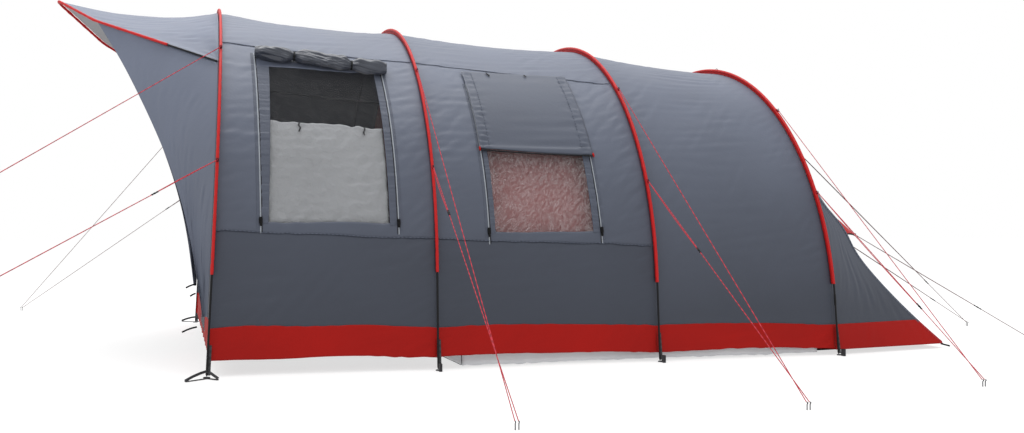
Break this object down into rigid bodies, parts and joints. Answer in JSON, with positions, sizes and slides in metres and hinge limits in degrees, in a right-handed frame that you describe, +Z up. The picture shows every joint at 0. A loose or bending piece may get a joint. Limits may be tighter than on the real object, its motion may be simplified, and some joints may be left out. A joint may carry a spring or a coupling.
{
  "type": "tunnel tent",
  "caption": "Pitched tunnel tent on curved hoop poles, with a fly sheet, porch visor, side windows, rolled blinds, inner tent, mud flaps and taut guy lines on pegs.",
  "frame": {"origin": "on the ground, at the middle of the box round the tent without its guy lines and their pegs", "axes": "+X from the porch to the rear, +Z up, the windows face -Y"},
  "size_m": [7.495, 6.87, 2.1186],
  "materials": {
    "fly_cloth": "coated polyester, slightly satin",
    "porch_cloth": "coated polyester, slightly satin",
    "red_cloth": "coated polyester",
    "pole": "satin",
    "black_pole": "satin",
    "steel": "zinc plated",
    "webbing": "woven webbing",
    "film": "clear flexible film",
    "curtain": "light woven",
    "zip": "woven zip tape with plastic coil",
    "slider": "black",
    "inner_cloth": "breathable polyester",
    "groundsheet": "woven polyethylene",
    "guy_line": "braided cord",
    "loop": "webbing loop",
    "runner": "moulded"
  },
  "bodies": {
    "root": {"blind_roll": "fly_cloth", "fly_bay_3": "fly_cloth", "fly_roof_1": "fly_cloth", "fly_roof_2": "fly_cloth", "fly_side_far_1": "fly_cloth", "fly_side_far_2": "fly_cloth", "fly_side_near_1": "fly_cloth", "fly_side_near_2": "fly_cloth", "foot_pegs": "steel", "foot_pins": "steel", "foot_straps": "webbing", "front_wall": "porch_cloth", "groundsheet": "groundsheet", "guy_loops": "loop", "guy_pegs": "steel", "guys_far": "guy_line", "guys_near_1": "guy_line", "guys_near_2": "guy_line", "guys_near_3": "guy_line", "guys_near_4": "guy_line", "guys_rear": "guy_line", "hoop_pole_1": "pole", "hoop_pole_2": "pole", "hoop_pole_3": "pole", "hoop_pole_4": "pole", "hoop_sleeve_1": "red_cloth", "hoop_sleeve_2": "red_cloth", "hoop_sleeve_3": "red_cloth", "hoop_sleeve_4": "red_cloth", "inner_tent_body": "inner_cloth", "inner_tent_front": "inner_cloth", "lower_wall_far": "fly_cloth", "lower_wall_near": "fly_cloth", "mud_flap_far": "red_cloth", "mud_flap_near": "red_cloth", "mud_flap_rear": "red_cloth", "pole_ferrules": "pole", "rear_corner_panels": "fly_cloth", "rear_panel": "fly_cloth", "runners_fixed": "runner", "vent_hoods": "red_cloth", "visor_canopy": "porch_cloth", "visor_pole": "black_pole", "visor_sleeve": "red_cloth", "window_curtain": "curtain", "window_films": "film", "window_zips": "zip", "wing_far": "porch_cloth", "wing_near": "porch_cloth"},
    "zip_slider_1_front": {"zip_slider_1_front": "slider"},
    "zip_slider_1_rear": {"zip_slider_1_rear": "slider"},
    "zip_slider_2_front": {"zip_slider_2_front": "slider"},
    "zip_slider_2_rear": {"zip_slider_2_rear": "slider"},
    "blind_flap": {"blind_flap": "fly_cloth"},
    "door_panel": {"door_panel": "porch_cloth"},
    "runner_near_1": {"runner_near_1": "runner"},
    "runner_near_2": {"runner_near_2": "runner"},
    "runner_near_3": {"runner_near_3": "runner"},
    "runner_near_4": {"runner_near_4": "runner"}
  },
  "joints": [
    {"name": "zip_slide_1_front", "type": "hinge", "parent": "root", "child": "zip_slider_1_front", "pos_m": [-1.5121, 0.01142, 0.5217], "axis": [-1, 0, 0], "range_deg": [0, 35.9]},
    {"name": "zip_slide_1_rear", "type": "hinge", "parent": "root", "child": "zip_slider_1_rear", "pos_m": [-0.8141, 0.00482, 0.42101], "axis": [-1, 0, 0], "range_deg": [0, 33.6]},
    {"name": "zip_slide_2_front", "type": "hinge", "parent": "root", "child": "zip_slider_2_front", "pos_m": [-0.3301, 0.00164, 0.3783], "axis": [-1, 0, 0], "range_deg": [0, 14.1]},
    {"name": "zip_slide_2_rear", "type": "hinge", "parent": "root", "child": "zip_slider_2_rear", "pos_m": [0.3139, 0.00131, 0.33448], "axis": [-1, 0, 0], "range_deg": [0, 14.1]},
    {"name": "blind_flap_lift", "type": "hinge", "parent": "root", "child": "blind_flap", "pos_m": [-0.0051, -0.98089, 1.632], "axis": [-1, 0, 0], "range_deg": [0, 80]},
    {"name": "door_swing", "type": "hinge", "parent": "root", "child": "door_panel", "pos_m": [-1.71931, 0.43, 0.875], "axis": [-0.0489, 0, -0.9988], "range_deg": [0, 95]},
    {"name": "runner_slide_1", "type": "slide", "parent": "root", "child": "runner_near_1", "axis": [-0.5781, -0.7296, -0.3653], "range_m": [-0.35, 1]},
    {"name": "runner_slide_2", "type": "slide", "parent": "root", "child": "runner_near_2", "axis": [-0.0544, -0.8682, -0.4933], "range_m": [-0.35, 1]},
    {"name": "runner_slide_3", "type": "slide", "parent": "root", "child": "runner_near_3", "axis": [-0.0541, -0.873, -0.4847], "range_m": [-0.5, 0.8]},
    {"name": "runner_slide_4", "type": "slide", "parent": "root", "child": "runner_near_4", "axis": [-0.0434, -0.842, -0.5378], "range_m": [-0.7, 0.4]}
  ]
}
